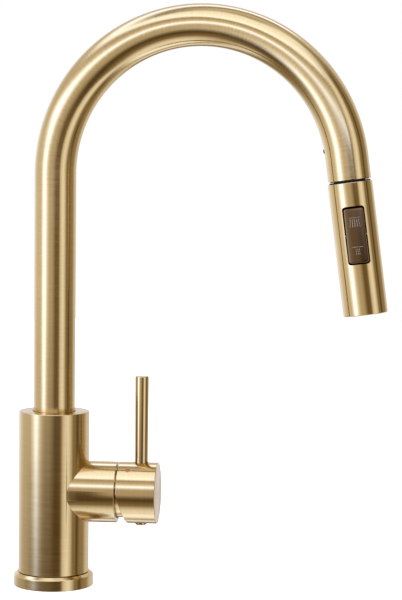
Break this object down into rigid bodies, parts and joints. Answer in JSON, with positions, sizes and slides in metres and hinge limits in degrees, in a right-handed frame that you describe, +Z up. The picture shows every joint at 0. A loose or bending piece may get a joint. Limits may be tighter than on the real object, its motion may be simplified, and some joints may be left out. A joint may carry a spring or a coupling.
{
  "type": "pull down kitchen faucet",
  "caption": "Deck-mounted kitchen mixer tap with a side lever, a swivelling gooseneck spout and a magnetically docked pull down spray head.",
  "frame": {"origin": "the body's vertical axis at the deck surface, on the underside of the base flange", "axes": "+Z up along the body, +X towards the spray head, +Y to the side away from the spray head's button"},
  "size_m": [0.2525, 0.0559, 0.4599],
  "materials": {
    "brushed_gold": "brushed",
    "polished_gold": "polished",
    "dark_gold": "plated plastic, polished",
    "raw_brass": "machined",
    "steel": "machined",
    "black_plastic": "moulded",
    "white_plastic": "moulded",
    "grey_plastic": "moulded",
    "rubber": "moulded",
    "ceramic": "lapped ceramic",
    "magnet": "sintered",
    "hose_braid": "nylon braid",
    "hot_red": "gloss",
    "cold_blue": "gloss"
  },
  "bodies": {
    "body": {"base_flange": "brushed_gold", "base_seal": "rubber", "body_shell": "brushed_gold", "threaded_shank": "raw_brass", "rubber_washer": "rubber", "steel_washer": "steel", "mounting_nut": "raw_brass", "valve_block": "raw_brass", "spout_bush": "white_plastic", "cartridge_body": "white_plastic", "cartridge_base": "grey_plastic", "fixed_disc": "ceramic", "cartridge_nut": "raw_brass", "trim_collar": "brushed_gold"},
    "spout": {"spout_tube": "brushed_gold", "spout_nipple": "raw_brass", "lower_o_ring": "rubber", "upper_o_ring": "rubber", "dock_insert": "black_plastic", "dock_magnet": "magnet", "dock_screw": "black_plastic", "spray_hose": "hose_braid", "hose_tail": "raw_brass"},
    "hose_end": {"hose_ferrule": "steel", "hose_nut": "steel"},
    "spray_head": {"head_shell": "polished_gold", "head_collar": "black_plastic", "catch_ring": "steel", "head_core": "black_plastic", "inlet_washer": "rubber", "rocker_pin": "steel", "spray_face": "grey_plastic", "aerator": "grey_plastic", "diffuser_plate": "white_plastic"},
    "rocker": {"rocker_button": "dark_gold"},
    "diverter": {"diverter_plunger": "white_plastic"},
    "mixer": {"cartridge_rotor": "grey_plastic"},
    "lever": {"cartridge_stem": "steel", "handle_hub": "brushed_gold", "lever_rod": "polished_gold", "grub_screw": "steel", "hub_plug": "polished_gold", "hot_dot": "hot_red", "cold_dot": "cold_blue"},
    "ceramic": {"moving_disc": "ceramic"}
  },
  "joints": [
    {"name": "spout_swivel", "type": "hinge", "parent": "body", "child": "spout", "pos_m": [0, 0, 0.279], "axis": [0, 0, 1], "continuous": true},
    {"name": "head_pull", "type": "slide", "parent": "spout", "child": "hose_end", "axis": [0.1357, 0, -0.9907], "range_m": [0, 0.45], "stiffness_N_per_m": 2, "springref_m": -3},
    {"name": "head_twist", "type": "hinge", "parent": "hose_end", "child": "spray_head", "pos_m": [0.19718, 0, 0.29244], "axis": [0.1357, 0, -0.9907], "continuous": true},
    {"name": "button_rock", "type": "hinge", "parent": "spray_head", "child": "rocker", "pos_m": [0.20535, -0.00871, 0.24183], "axis": [0.9811, 0.1392, 0.1344], "range_deg": [0, 7]},
    {"name": "diverter_push", "type": "slide", "parent": "spray_head", "child": "diverter", "axis": [-0.1379, 0.9903, -0.0189], "range_m": [0, 0.0016]},
    {"name": "temperature_turn", "type": "hinge", "parent": "body", "child": "mixer", "pos_m": [0, 0, 0.0642], "axis": [0.993, 0.1184, 0], "range_deg": [-45, 45]},
    {"name": "lever_lift", "type": "hinge", "parent": "mixer", "child": "lever", "pos_m": [0.04756, 0.00567, 0.0642], "axis": [-0.1184, 0.993, 0], "range_deg": [0, 17]},
    {"name": "disc_slide", "type": "slide", "parent": "mixer", "child": "ceramic", "axis": [0, 0, 1], "range_m": [0, 0.0045]}
  ],
  "couplings": [
    {"joint": "diverter_push", "follows": "button_rock", "m_per_rad": 0.013},
    {"joint": "disc_slide", "follows": "lever_lift", "m_per_rad": 0.015}
  ]
}
